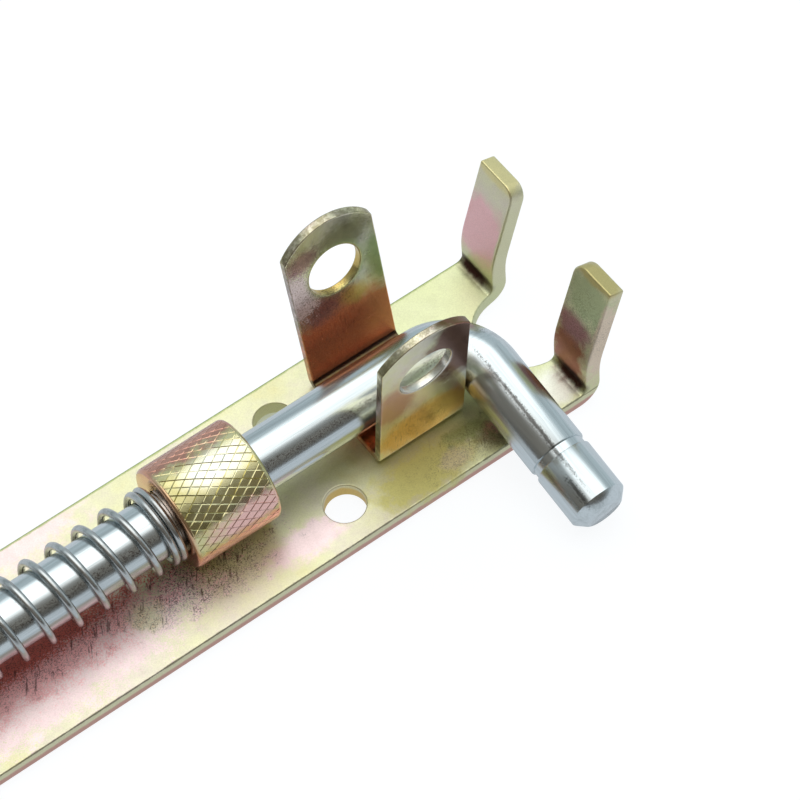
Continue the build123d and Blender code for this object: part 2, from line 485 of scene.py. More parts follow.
@dataclass(frozen=True)
class PassivateFinish:
    """Yellow-passivated zinc: a metal under an uneven, faintly iridescent film."""

    name: str
    thickness: float
    clouding: float
    cloud_scale: float
    roughness: float
    metallic: float = 1.0
    tints: tuple[Tint, ...] = ()
    stains: tuple[Tint, ...] = ()
    scratches: tuple[Tint, ...] = ()
    scratch_stretch: Triple = (1.0, 1.0, 0.05)
    scratch_scale: float = 2.2
    scratch_turn: float = 0.0
    scratch_step: Pair = (0.56, 0.66)
    plain_way: Triple | None = None
    plain_step: Pair = (0.3, 0.7)
    cut_faces: CutFaces | None = None
    hole_walls: tuple[Tint, ...] = ()
    grain_scale: float = 3.0
    grain_step: Pair = (0.2, 0.75)
    grain_dark: Colour = srgb(150, 140, 112)
    grain_light: Colour = srgb(255, 255, 250)
    grain_share: float = 0.22
    grain_strength: float = 0.22
    grain_depth: float = 0.03 * MM
    roughness_swing: float = 0.2

    def make(self, effects: SharedEffects) -> Material:
        """Builds the material.

        Args:
            effects: The shared node groups.

        Returns:
            The finished material.
        """
        metal = Metal(self.name, effects)
        graph = metal.graph
        cloud = (self.thickness, self.cloud_scale, self.clouding)
        film = graph.place(effects.film, metal.position, *cloud)["Colour"]
        colour = metal.paint(self.lay_tints(metal, film), self.hole_walls, metal.position)
        grain = metal.grain(metal.position, EVEN, self.grain_scale)
        shade = graph.mix(graph.ease(grain["Height"], *self.grain_step), self.grain_dark, self.grain_light)
        colour = graph.mix(self.grain_share, colour, shade, "MULTIPLY")
        colour = metal.stain(colour, self.stains, metal.position)
        if self.scratches:
            turned = graph.turn(metal.position, "Z_AXIS", self.scratch_turn)
            drawn = metal.grain(turned, self.scratch_stretch, self.scratch_scale)["Height"]
            thin = graph.ease(drawn, *self.scratch_step)
            colour = metal.paint(colour, self.scratches, metal.position, thin)
        graph.fill(metal.shader, Base_Color=colour)
        metal.roughen(grain["Mottle"], self.roughness, self.roughness_swing)
        metal.bump(grain["Height"], self.grain_strength, self.grain_depth)
        return metal.material

    def lay_tints(self, metal: Metal, film: Socket) -> Socket:
        """Lays the patches over the film, which dull the metal, and dresses the cut faces.

        Args:
            metal: The material in the making.
            film: The plain film's colour.

        Returns:
            The tinted colour.
        """
        graph = metal.graph
        colour = film
        metallic = self.metallic
        for tint in self.tints:
            mask = metal.zone(tint, metal.position)
            colour = graph.mix(mask, colour, tint.colour)
            if tint.dull:
                bare = graph.math("SUBTRACT", 1.0, graph.math("MULTIPLY", mask, tint.dull))
                metallic = graph.math("MULTIPLY", metallic, bare)
        graph.fill(metal.shader, Metallic=metallic)
        if self.plain_way:
            plain = graph.ease(graph.dot(metal.facing, self.plain_way), *self.plain_step)
            colour = graph.mix(plain, colour, film)
        return self.cut_faces.lay(metal, colour) if self.cut_faces else colour


@dataclass(frozen=True)
class BrightFinish:
    """Bright drawn metal: clear zinc or spring wire, with fine grain and stains, in millimetres."""

    name: str
    colour: Colour
    stain: Colour
    roughness: float
    grain_scale: float
    grain_strength: float
    streaking: float
    stretch: Triple = EVEN
    handle_stretch: Triple = EVEN
    stains: tuple[Tint, ...] = ()
    handle_stains: tuple[Tint, ...] = ()
    etched_lines: tuple[Tint, ...] = ()
    axis_height: float = 18.6
    handle_droop: float = math.radians(10.48)
    bend_step: Pair = (-8.0, -12.0)
    mottle_step: Pair = (0.42, 0.75)
    streak_step: Pair = (0.5, 0.72)
    grain_depth: float = 0.02 * MM
    roughness_swing: float = 0.16

    def make(self, effects: SharedEffects) -> Material:
        """Builds the material, whose grain turns with the handle.

        Args:
            effects: The shared node groups.

        Returns:
            The finished material.
        """
        metal = Metal(self.name, effects)
        graph = metal.graph
        handle = graph.turn(metal.position, "X_AXIS", -self.handle_droop, (0.0, 0.0, self.axis_height))
        on_handle = graph.ease(graph.dot(handle, Y_AXIS), *self.bend_step)
        along_bar = metal.grain(metal.position, self.stretch, self.grain_scale)
        along_handle = metal.grain(handle, self.handle_stretch, self.grain_scale)
        height = graph.mix(on_handle, along_bar["Height"], along_handle["Height"])
        mottle = graph.mix(on_handle, along_bar["Mottle"], along_handle["Mottle"])
        colour = graph.mix(graph.ease(mottle, *self.mottle_step), self.colour, self.stain)
        streak = graph.math("MULTIPLY", graph.ease(height, *self.streak_step), self.streaking)
        colour = graph.mix(streak, colour, self.stain)
        colour = metal.stain(colour, self.stains, metal.position)
        colour = metal.stain(colour, self.handle_stains, handle)
        colour = metal.paint(colour, self.etched_lines, handle)
        graph.fill(metal.shader, Base_Color=colour, Metallic=1.0)
        metal.roughen(height, self.roughness, self.roughness_swing)
        metal.bump(height, self.grain_strength, self.grain_depth)
        return metal.material


@dataclass
class Assembly:
    """A sub-assembly: the shared effects, the height of the bolt's axis in metres, and its finish."""

    effects: SharedEffects
    axis_z: float
    finish: PassivateFinish | BrightFinish
    sharp_angle: float = math.radians(32.0)
    level_normals: bool = False

    def dress(self, shape: Shape, name: str, node: str, slot: Slot) -> Object:
        """Turns a bmesh into a dressed piece that stands for a solid.

        Args:
            shape: The mesh, which is freed.
            name: The piece's name.
            node: The solid that it stands for.
            slot: The solid's material slot; not used.

        Returns:
            The piece, which still has to ride on its body.
        """
        for face in shape.faces:
            face.smooth = True
        for edge in shape.edges:
            edge.smooth = len(edge.link_faces) == 2 and edge.calc_face_angle(0.0) < self.sharp_angle
        mesh = bpy.data.meshes.new(name)
        shape.to_mesh(mesh)
        shape.free()
        mesh.materials.append(self.finish.make(self.effects))
        piece = bpy.data.objects.new(name, mesh)
        bpy.context.scene.collection.objects.link(piece)
        if self.level_normals:
            level = piece.modifiers.new("level_normals", "WEIGHTED_NORMAL")
            level.keep_sharp = True
        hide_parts(node)
        LOG.info("%s: %d faces for %s", name, len(mesh.polygons), node)
        return piece


def only_edges(items: Iterable[object]) -> Edges:
    """Picks the edges out of what an operator made."""
    return [item for item in items if isinstance(item, bmesh.types.BMEdge)]


def extrude_loop(shape: Shape, loop: Edges) -> tuple[set[bmesh.types.BMVert], Edges]:
    """Extrudes an open loop of edges in place.

    Args:
        shape: The mesh.
        loop: The loop's edges.

    Returns:
        The new loop's vertices and its edges.
    """
    made = bmesh.ops.extrude_edge_only(shape, edges=loop)["geom"]
    ring = {item for item in made if isinstance(item, bmesh.types.BMVert)}
    return ring, [edge for edge in only_edges(made) if ring.issuperset(edge.verts)]


def cut_away(shape: Shape, point: Vector, way: Vector) -> Edges:
    """Cuts off what lies past a plane.

    Args:
        shape: The mesh.
        point: A point on the plane.
        way: The direction in which the mesh is cut off.

    Returns:
        The edges along the cut.
    """
    made = bmesh.ops.bisect_plane(
        shape,
        geom=shape.verts[:] + shape.edges[:] + shape.faces[:],
        dist=CUT_GAP,
        plane_co=point,
        plane_no=way,
        clear_outer=True,
    )
    return only_edges(made["geom_cut"])


class Tube:
    """A round section that is drawn along a path by extruding its end loop."""

    def __init__(self, centre: Vector, along: Vector, radius: float, segments: int) -> None:
        """Starts with one closed disc.

        Args:
            centre: The disc's centre.
            along: The way that the tube grows.
            radius: The disc's radius.
            segments: The number of sides.
        """
        self.shape = bmesh.new()
        self.centre = centre.copy()
        self.along = along.normalized()
        self.radius = radius
        turn = Z_AXIS.rotation_difference(self.along).to_matrix().to_4x4()
        place = Matrix.Translation(centre) @ turn
        bmesh.ops.create_circle(self.shape, cap_ends=True, radius=radius, segments=segments, matrix=place)
        self.loop = list(self.shape.edges)

    def draw(self, *sections: Pair) -> None:
        """Extrudes the end loop along the tube, section by section.

        Args:
            *sections: How far each section goes and the radius that it ends with.
        """
        for step, radius in sections:
            ring, self.loop = extrude_loop(self.shape, self.loop)
            share = radius / self.radius
            for vertex in ring:
                vertex.co = self.centre + (vertex.co - self.centre) * share + self.along * step
            self.centre += self.along * step
            self.radius = radius

    def spin(self, pivot: Vector, axis: Vector, angle: float, steps: int, rise: float = 0.0) -> None:
        """Spins the end loop round an axis, which turns the tube's way too.

        Args:
            pivot: A point on the axis.
            axis: The axis.
            angle: The whole turn.
            steps: The number of steps in it.
            rise: How far the loop moves along the axis meanwhile.
        """
        ring = list({vertex for edge in self.loop for vertex in edge.verts})
        made = bmesh.ops.spin(
            self.shape,
            geom=ring + self.loop,
            cent=pivot,
            axis=axis,
            dvec=axis * (rise / steps),
            angle=angle,
            steps=steps,
            use_merge=False,
        )
        self.loop = only_edges(made["geom_last"])
        turn = Matrix.Rotation(angle, 3, axis)
        self.centre = pivot + turn @ (self.centre - pivot) + axis * rise
        self.along = turn @ self.along

    def close(self) -> Shape:
        """Caps the end and turns the faces outwards.

        Returns:
            The finished mesh.
        """
        bmesh.ops.contextual_create(self.shape, geom=self.loop)
        bmesh.ops.recalc_face_normals(self.shape, faces=self.shape.faces)
        return self.shape


@dataclass
class FoldedSheet(Assembly):
    """The forked plate or the padlock bracket: a punched and folded sheet, smoothed from its solid."""

    level_normals: bool = True

    def build(self, name: str, node: str, solid: Object) -> None:
        """Makes a dressed sheet from its solid's triangles, joined along their shared edges.

        Args:
            name: The piece's name.
            node: The solid that it stands for.
            solid: That solid's mesh object.
        """
        shape = bmesh.new()
        shape.from_mesh(solid.data)
        bmesh.ops.remove_doubles(shape, verts=shape.verts, dist=WELD_GAP)
        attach(self.dress(shape, name, node, Slot.YELLOW_ZINC), Body.FRAME.value)


@dataclass
class KnurledBush(Assembly):
    """A guide bush with a diamond knurl cut into its barrel, in metres."""

    starts: int = 36
    helix_angle: float = math.radians(32.0)
    groove_depth: float = 0.18 * MM
    shallowest: float = 0.4
    groove_half_width: float = 0.17 * MM
    rim_radius: float = 0.9 * MM
    rim_drop: float = 0.08 * MM
    run_out: float = 0.12 * MM
    bore_radius: float = 8.25 * MM
    bore_lip: float = 0.5 * MM
    rim_steps: int = 6
    cell_steps: int = 4
    cell_nudge: float = 0.001
    mouth_gap: float = 0.01 * MM
    sharp_angle: float = math.radians(24.0)

    def build(self, name: str, node: str) -> None:
        """Makes one dressed bush, cut flat where it is welded to the plate.

        Args:
            name: The piece's name.
            node: The solid that it stands for.
        """
        low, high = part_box(node)
        radius = high.z - self.axis_z
        length = high.x - low.x
        centre = Vector(((low.x + high.x) / 2, 0, self.axis_z))
        band = length - 2 * (self.rim_radius + self.run_out)
        shape = self.knurl(radius, band)
        self.wrap(shape, radius, centre)
        for side in (-1, 1):
            self.end(shape, radius, centre, side * band / 2, side * length / 2)
        bmesh.ops.bridge_loops(shape, edges=[edge for edge in shape.edges if edge.is_boundary])
        seat = cut_away(shape, Vector((0, 0, low.z)), -Z_AXIS)
        bmesh.ops.holes_fill(shape, edges=seat, sides=0)
        bmesh.ops.recalc_face_normals(shape, faces=shape.faces)
        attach(self.dress(shape, name, node, Slot.YELLOW_ZINC), Body.FRAME.value)

    def knurl(self, radius: float, band: float) -> Shape:
        """Rolls out the barrel as a flat sheet with two families of grooves.

        Args:
            radius: The barrel's radius.
            band: The length of the knurled band.

        Returns:
            A sheet in X, round the barrel, and Y, along it, with its grooves in Z.
        """
        around = math.tau * radius / self.starts
        along = around / math.tan(self.helix_angle)
        spacing = around * math.cos(self.helix_angle)
        share = self.groove_half_width / spacing
        cells = math.ceil((self.starts + band / along) / 2) + 1
        shape = bmesh.new()
        segments = 2 * cells * self.cell_steps
        bmesh.ops.create_grid(shape, x_segments=segments, y_segments=segments, size=cells)
        for vertex in shape.verts:
            first, first_depth = self.groove_place(vertex.co.x, share)
            second, second_depth = self.groove_place(vertex.co.y, share)
            depth = max(first_depth, second_depth)
            vertex.co = ((first - second) * around / 2, (first + second) * along / 2, -depth)
        for axis, reach in ((X_AXIS, math.pi * radius), (Y_AXIS, band / 2)):
            for way in (-axis, axis):
                cut_away(shape, way * reach, way)
        return shape

    def groove_place(self, value: float, share: float) -> Pair:
        """Moves a grid line towards the groove beside it and works out how deep it lies.

        Args:
            value: The grid line, counted in grooves.
            share: Half a groove's width as a share of the spacing.

        Returns:
            The line's new place and its depth, which differs from groove to groove.
        """
        cell = math.floor(value + self.cell_nudge)
        step = round((value - cell) * self.cell_steps) % self.cell_steps
        places = (0.0, share, 0.5, 1.0 - share)
        pressed = math.sin((cell % self.starts) * self.starts) ** 2
        depth = self.groove_depth * (self.shallowest + (1 - self.shallowest) * pressed)
        return cell + places[step], 0.0 if step else depth

    @staticmethod
    def wrap(shape: Shape, radius: float, centre: Vector) -> None:
        """Rolls the sheet into a barrel about the bolt's axis and joins its seam.

        Args:
            shape: The sheet.
            radius: The barrel's radius.
            centre: The barrel's middle.
        """
        for vertex in shape.verts:
            angle = vertex.co.x / radius
            reach = radius + vertex.co.z
            vertex.co = centre + Vector((vertex.co.y, reach * math.cos(angle), reach * math.sin(angle)))
        bmesh.ops.remove_doubles(shape, verts=shape.verts, dist=SEAM_GAP)

    def end(self, shape: Shape, radius: float, centre: Vector, band_end: float, bush_end: float) -> None:
        """Rounds one end of the barrel and closes it in to the bore.

        Args:
            shape: The barrel.
            radius: The barrel's radius.
            centre: The barrel's middle.
            band_end: Where the knurl ends, from the middle along X.
            bush_end: Where the bush ends.
        """
        mouth = centre.x + band_end
        side = math.copysign(1, bush_end)
        loop = [edge for edge in shape.edges if edge.is_boundary]
        loop = [edge for edge in loop if all(abs(v.co.x - mouth) < self.mouth_gap for v in edge.verts)]
        face_x = centre.x + bush_end
        rim_x = centre.x + bush_end - side * self.rim_radius
        rim = radius - self.rim_drop
        rings = [(rim_x, rim)]
        for step in range(1, self.rim_steps + 1):
            angle = math.pi / 2 * step / self.rim_steps
            inner = rim - self.rim_radius * (1 - math.cos(angle))
            rings.append((rim_x + side * self.rim_radius * math.sin(angle), inner))
        rings.append((face_x, self.bore_radius + self.bore_lip))
        rings.append((face_x - side * self.bore_lip, self.bore_radius))
        for ring_x, ring_radius in rings:
            ring, loop = extrude_loop(shape, loop)
            for vertex in ring:
                away = Vector((0, vertex.co.y, vertex.co.z - centre.z)).normalized() * ring_radius
                vertex.co = Vector((ring_x, away.y, centre.z + away.z))


@dataclass
class BoltRod(Assembly):
    """The round bolt, bent into its handle, in metres."""

    bend_radius: float = 13.0 * MM
    handle_length: float = 60.5 * MM
    tip_chamfer: float = 2.6 * MM
    edge_round: float = 0.3 * MM
    barrel_share: float = 0.4
    face_share: float = 0.6
    groove_from_tip: float = 18.2 * MM
    groove_width: float = 2.4 * MM
    groove_depth: float = 0.6 * MM
    groove_lip: float = 0.25 * MM
    segments: int = 128
    bend_steps: int = 40

    def build(self) -> None:
        """Makes the dressed bolt."""
        low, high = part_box("bolt_rod")
        radius = high.y
        droop = self.droop(radius, low.z)
        across = Vector((0, -math.cos(droop), -math.sin(droop)))
        rod = Tube(Vector((low.x, 0, self.axis_z)), X_AXIS, radius - self.tip_chamfer, self.segments)
        edge_run = self.edge_round * (1 + self.barrel_share)
        rod.draw((self.tip_chamfer - self.edge_round, radius - self.edge_round), (edge_run, radius))
        rod.draw((high.x - radius - self.bend_radius - rod.centre.x, radius))
        pivot = rod.centre + across * self.bend_radius
        rod.spin(pivot, X_AXIS.cross(across), math.pi / 2, self.bend_steps)
        reach = self.handle_length - self.bend_radius
        lip = self.groove_lip
        lip_radius = radius - lip / 2
        floor = radius - self.groove_depth
        groove_start = reach - self.groove_from_tip - self.groove_width / 2
        rod.draw((groove_start - lip, radius), (lip, lip_radius), (lip / 2, floor))
        rod.draw((self.groove_width - lip, floor), (lip / 2, lip_radius), (lip, radius))
        drawn = groove_start + self.groove_width + lip
        face = radius - self.tip_chamfer
        face_run = self.edge_round * self.face_share
        rod.draw(
            (reach - drawn - self.tip_chamfer - self.edge_round * self.barrel_share, radius),
            (edge_run, radius - self.edge_round),
            (self.tip_chamfer - self.edge_round - face_run, face + face_run),
            (face_run, face - face_run),
        )
        bolt = self.dress(rod.close(), "bolt_bright", "bolt_rod", Slot.BRIGHT_ZINC)
        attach(bolt, Body.BOLT.value)

    def droop(self, radius: float, tip_z: float) -> float:
        """Works out how far the handle hangs below level, in radians."""
        reach = self.handle_length - self.tip_chamfer
        return math.asin((self.axis_z - tip_z) / math.hypot(reach, radius)) - math.atan2(radius, reach)


@dataclass
class CompressionSpring(Assembly):
    """The spring between the front bush and the washer, in metres."""

    wire_radius: float = 1.0 * MM
    closed_turns: float = 1.6
    closed_pitch: float = 2.15 * MM
    active_turns: float = 12.0
    end_angle: float = math.radians(246.0)
    wire_segments: int = 16
    steps_per_turn: int = 48

    def build(self) -> None:
        """Makes the dressed spring at rest; the real spring shortens as the bolt is drawn back."""
        low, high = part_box("compression_spring")
        coil_radius = high.y - self.wire_radius
        turns = self.active_turns + 2 * self.closed_turns
        closed_run = self.closed_turns * self.closed_pitch
        active_run = high.x - low.x - 2 * self.wire_radius - 2 * closed_run
        start_angle = self.end_angle - math.tau * turns
        away = Vector((0, math.cos(start_angle), math.sin(start_angle)))
        start = Vector((low.x + self.wire_radius, 0, self.axis_z)) + away * coil_radius
        wire = Tube(start, X_AXIS.cross(away), self.wire_radius, self.wire_segments)
        closed = (self.closed_turns, closed_run)
        for run_turns, run in (closed, (self.active_turns, active_run), closed):
            steps = round(run_turns * self.steps_per_turn)
            wire.spin(Vector((0, 0, self.axis_z)), X_AXIS, math.tau * run_turns, steps, run)
        spring = self.dress(wire.close(), "spring_wound", "compression_spring", Slot.SPRING_WIRE)
        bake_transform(spring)


@dataclass
class SpringSeat(Assembly):
    """The washer and the cross pin that carry the hidden end of the spring, in metres."""

    washer_bore: float = 8.3 * MM
    edge_round: float = 0.3 * MM
    edge_steps: int = 3
    segments: int = 96

    def build_washer(self) -> None:
        """Makes the dressed washer by spinning its section round the bolt."""
        low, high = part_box("spring_washer")
        shape = bmesh.new()
        outline = (
            (low.x, self.washer_bore),
            (low.x, high.y),
            (high.x, high.y),
            (high.x, self.washer_bore),
        )
        section = shape.faces.new([shape.verts.new((x, y, self.axis_z)) for x, y in outline])
        bmesh.ops.bevel(
            shape,
            geom=list(section.verts),
            offset=self.edge_round,
            affect="VERTICES",
            segments=self.edge_steps,
            profile=0.5,
            material=-1,
        )
        edges = list(shape.edges)
        bmesh.ops.delete(shape, geom=list(shape.faces), context="FACES_ONLY")
        bmesh.ops.spin(
            shape,
            geom=shape.verts[:] + edges,
            cent=(0, 0, self.axis_z),
            axis=X_AXIS,
            dvec=(0, 0, 0),
            angle=math.tau,
            steps=self.segments,
            use_merge=True,
        )
        bmesh.ops.remove_doubles(shape, verts=shape.verts, dist=SPIN_GAP)
        bmesh.ops.recalc_face_normals(shape, faces=shape.faces)
        washer = self.dress(shape, "washer_bright", "spring_washer", Slot.BRIGHT_ZINC)
        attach(washer, Body.SLIDER.value)

    def build_pin(self) -> None:
        """Makes the dressed cross pin with rounded ends."""
        low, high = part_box("stop_pin")
        radius = (high.x - low.x) / 2
        edge = self.edge_round
        centre = Vector(((low.x + high.x) / 2, low.y, (low.z + high.z) / 2))
        pin = Tube(centre, Y_AXIS, radius - 2 * edge, self.segments)
        pin.draw((edge, radius - edge / 2), (edge, radius), (high.y - low.y - 4 * edge, radius))
        pin.draw((edge, radius - edge / 2), (edge, radius - 2 * edge))
        dressed = self.dress(pin.close(), "pin_bright", "stop_pin", Slot.BRIGHT_ZINC)
        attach(dressed, Body.BOLT.value)


@dataclass
class Studio:
    """The white table, the soft light and the camera at the photograph's angle."""

    azimuth: float = math.radians(-30.79)
    elevation: float = math.radians(56.92)
    roll: float = math.radians(-6.10)
    distance: float = 811.27 * MM
    nearest: float = 10.0 * MM
    focal_pixels: float = 3153.43
    shift_pixels: Pair = (1.52, 2.84)
    target: Triple = (127.05 * MM, 0.0, 4.5 * MM)
    table_size: float = 8.0
    table_colour: Colour = (0.14, 0.145, 0.15, 1.0)
    table_roughness: float = 0.9
    overhead: Triple = (0.1, 0.12, 0.988)
    overhead_step: Pair = (math.cos(math.radians(44)), math.cos(math.radians(20)))
    far_side: Triple = (0.7, 0.714, 0.0)
    far_step: Pair = (-0.45, 0.25)
    high_step: Pair = (0.0, 0.5)
    near_low_colour: Colour = (0.085, 0.08, 0.072, 1.0)
    near_high_colour: Colour = (0.2, 0.185, 0.16, 1.0)
    far_colour: Colour = (0.5, 0.58, 0.61, 1.0)
    box_colour: Colour = (1.3, 1.28, 1.25, 1.0)
    backdrop_colour: Colour = (0.95, 0.96, 0.97, 1.0)
    seen_glow: Colour = (0.89, 0.9, 0.91, 1.0)
    mirrored_glow: Colour = (0.52, 0.56, 0.6, 1.0)
    shaded_glow: Colour = (0.36, 0.39, 0.27, 1.0)
    shaded_hole: Triple = (98.0 * MM, 15.75 * MM, 0.0)
    shaded_reach: float = 12.0 * MM

    def build(self) -> None:
        """Sets up the table, the light and the camera."""
        self.build_table()
        self.build_light()
        self.build_camera()

    def build_camera(self) -> None:
        """Places the camera where the photograph was taken from."""
        right = Vector((math.cos(self.azimuth), math.sin(self.azimuth), 0))
        level_back = Vector((math.sin(self.azimuth), -math.cos(self.azimuth), 0))
        back = level_back * math.cos(self.elevation) + Z_AXIS * math.sin(self.elevation)
        up = back.cross(right)
        rolled_right = right * math.cos(self.roll) + up * math.sin(self.roll)
        rolled_up = up * math.cos(self.roll) - right * math.sin(self.roll)
        data = bpy.data.cameras.new("camera")
        data.sensor_width = SENSOR_WIDTH
        data.lens = self.focal_pixels / PICTURE_PIXELS * SENSOR_WIDTH
        data.shift_x = -self.shift_pixels[0] / PICTURE_PIXELS
        data.shift_y = self.shift_pixels[1] / PICTURE_PIXELS
        data.clip_start = self.nearest
        camera = bpy.data.objects.new("camera", data)
        turn = Matrix((rolled_right, rolled_up, back)).transposed().to_4x4()
        camera.matrix_world = Matrix.Translation(Vector(self.target) + back * self.distance) @ turn
        bpy.context.scene.collection.objects.link(camera)
        bpy.context.scene.camera = camera

    def build_table(self) -> None:
        """Lays a plain white table that glows like a light box, shaded below the far screw hole."""
        shape = bmesh.new()
        bmesh.ops.create_grid(shape, x_segments=1, y_segments=1, size=self.table_size / 2)
        mesh = bpy.data.meshes.new("table")
        shape.to_mesh(mesh)
        shape.free()
        material = bpy.data.materials.new("table_white")
        material.use_nodes = True
        graph = Graph(material.node_tree)
        seen = graph.add("ShaderNodeLightPath").outputs["Is Camera Ray"]
        where = graph.add("ShaderNodeTexCoord").outputs["Object"]
        away = graph.length(graph.vector("SUBTRACT", where, self.shaded_hole))
        under = graph.ease(away, self.shaded_reach, self.shaded_reach / 2)
        glow = graph.mix(under, graph.mix(seen, self.mirrored_glow, self.seen_glow), self.shaded_glow)
        graph.fill(
            material.node_tree.nodes["Principled BSDF"],
            Base_Color=self.table_colour,
            Roughness=self.table_roughness,
            Emission_Strength=1.0,
            Emission_Color=glow,
        )
        mesh.materials.append(material)
        table = bpy.data.objects.new("table", mesh)
        bpy.context.scene.collection.objects.link(table)

    def build_light(self) -> None:
        """Hangs a soft sky: white overhead, blue-grey on the far side and brown behind the camera."""
        scene = bpy.context.scene
        scene.view_settings.view_transform = "Standard"
        scene.world = bpy.data.worlds.new("studio")
        scene.world.use_nodes = True
        scene.world.node_tree.nodes.clear()
        graph = Graph(scene.world.node_tree)
        where = graph.add("ShaderNodeTexCoord").outputs["Generated"]
        high = graph.ease(graph.dot(where, Z_AXIS), *self.high_step)
        near = graph.mix(high, self.near_low_colour, self.near_high_colour)
        far = graph.ease(graph.dot(where, self.far_side), *self.far_step)
        above = graph.ease(graph.dot(where, self.overhead), *self.overhead_step)
        sky = graph.mix(above, graph.mix(far, near, self.far_colour), self.box_colour, "ADD")
        seen = graph.add("ShaderNodeLightPath").outputs["Is Camera Ray"]
        background = graph.add("ShaderNodeBackground")
        graph.fill(background, Color=graph.mix(seen, sky, self.backdrop_colour))
        graph.fill(graph.add("ShaderNodeOutputWorld"), Surface=background.outputs["Background"])


PETAL = srgb(255, 230, 230)
PINK = srgb(255, 206, 198)
BLUSH = srgb(255, 206, 208)
ROSE = srgb(255, 190, 192)
# Partly painted shade: the film's deep rose, darkened where the rod's shade falls.
DEEP_ROSE = srgb(222, 112, 102)
CLAY = srgb(220, 174, 160)
SAGE = srgb(236, 232, 196)
# Near-white: a pale film tone at the plate's foot, and a painted highlight on the bush and in the near
# padlock hole.
PALE = srgb(255, 254, 246)
COCOA = srgb(210, 158, 140)
FERN = srgb(112, 100, 54)
PLUM = srgb(190, 138, 140)
LIME = srgb(228, 232, 184)
MOSS = srgb(178, 190, 128)
WILLOW = srgb(200, 206, 164)
GOLD = srgb(232, 200, 122)
HONEY = srgb(255, 206, 128)
# Olive: the film's colour on the bracket's crown, and painted shade on the bush's left end.
OLIVE = srgb(150, 142, 92)
AMBER = srgb(228, 172, 142)
BRICK = srgb(255, 164, 122)
EMBER = srgb(255, 156, 116)
RUST = srgb(186, 120, 94)
MAUVE = srgb(208, 166, 148)
TAUPE = srgb(146, 104, 88)
# Sooty dark: real stains and scratches, and painted shade in the far ear's fold.
SOOT_AND_SHADE = srgb(86, 60, 52)
BRASS = srgb(240, 228, 172)
BRONZE = srgb(214, 200, 140)
STRAW = srgb(238, 230, 146)
BEIGE = srgb(240, 220, 198)
# Dark brown: real pits, hairlines, scratches and the near edge's burr, and painted shade beside the handle
# and in the prong folds.
UMBER = srgb(74, 44, 36)
SLATE = srgb(70, 68, 64)

PLATE_FINISH = PassivateFinish(
    name="passivate_plate",
    thickness=0.42,
    clouding=0.6,
    cloud_scale=0.045,
    roughness=0.44,
    metallic=0.93,
    tints=(
        Tint((150, 0, 4.5), (50, 60, 12), LIME, 0.8),
        Tint((84, -19, 4.5), (16, 6, 6), PETAL, 1.2, 1.4),
        Tint((161, -20, 4.5), (9, 8, 3), PALE, 0.8, 1),
        Tint((6, -13, 4.5), (68, 14, 6), PETAL, 1.6, 1.6, 0, 1.5),
        Tint((0, -7, 4.5), (66, 11, 5), ROSE, 1.3, 1.8, 0.65, 2),
        # Along the rod's foot: the film's deep rose with painted shade of the rod laid into it.
        Tint((-4, -2, 4.5), (64, 7, 5), DEEP_ROSE, 1.6, 1, 0.3, 2),
        Tint((26, 26, 4.5), (24, 10, 6), PETAL, 0.9, 2),
        Tint((20, 26.8, 4.4), (500, 0.9, 1.2), MOSS, 0.9, 1),
        Tint((20, -27, 1), (500, 1.6, 2.6), CLAY, 1.4, 0.5),
        Tint((20, -27, 3.2), (500, 1.6, 1.4), SAGE, 1, 0.8),
        Tint((20, -26.95, 4.4), (500, 0.4, 0.5), UMBER, 0.5, 2.6, 0, 1),
        Tint((119, -20.5, 4.5), (20, 9, 6), STRAW, 1.3, 1.4, 0.9),
        Tint((128, -22, 4.5), (6, 4, 6), PETAL, 0.35, 2),
        # Painted shadow: a dark patch on the plate beside the handle's root, where its shade falls.
        Tint((141, -22, 4.5), (8, 5, 3), UMBER, 0.5, 1.6, 0, 1),
        Tint((136, -17, 4.5), (9, 4, 6), MOSS, 0.8, 2),
        Tint((40, -12, 4.5), (6, 6, 3), LIME, 0.6, 2.4, 0.3, 1),
        Tint((147, -20, 4.5), (10, 5, 6), ROSE, 0.7, 2),
        Tint((98, 15.75, 1.5), (9, 9, 4), SAGE, 2.5, 0.3, 0.5),
        Tint((98, -15.75, 1.5), (9, 9, 3.2), GOLD, 2.5, 0.3),
        Tint((168, 21, 24), (6, 14, 17), BLUSH, 1.4, 0.6),
        Tint((168, -19, 13.5), (8, 9, 13), RUST, 1.3, 0.9),
        Tint((170, -19, 23), (8, 9, 6), PLUM, 1.1, 0.9),
        Tint((172, -21, 34), (8, 13, 11), WILLOW, 1.2, 0.9, 0, 0.8),
        # Painted shade: dark brown laid in the folds at the feet of both prongs.
        Tint((165.2, 21, 6.4), (3.2, 12, 3.2), UMBER, 1.1, 0.6),
        Tint((165.2, -21, 6.4), (3.2, 10, 3.2), UMBER, 1.1, 0.6),
        Tint((175, 20, 41.5), (9, 14, 3.5), BRASS, 1.3, 0.7),
        Tint((175, -20, 41.5), (9, 14, 3.5), BRONZE, 1.3, 0.7),
        Tint((171, 12.8, 22), (10, 1.6, 24), SAGE, 1.2, 0.8),
        Tint((171, -27, 24), (10, 1.6, 20), BEIGE, 1.2, 1.4),
    ),
    stains=(
        Tint((58, -12, 4.5), (26, 11, 6), UMBER, 1, 2.2),
        Tint((12, -6.5, 4.5), (64, 9, 6), UMBER, 0.8, 2.2),
        Tint((134, -21, 4.5), (24, 7, 6), UMBER, 0.5, 2.2),
        Tint((170, -19, 26), (10, 14, 14), UMBER, 0.5, 1),
    ),
    scratches=(
        Tint((12, -7.5, 4.5), (66, 10, 6), UMBER, 0.75, 2.2),
        Tint((56, -12, 4.5), (24, 10, 6), UMBER, 0.7, 2.2),
        Tint((134, -20, 4.5), (24, 8, 6), UMBER, 0.35, 2.2),
    ),
    scratch_stretch=(1.0, 0.15, 1.0),
    scratch_scale=1.3,
    scratch_turn=math.radians(30.0),
)
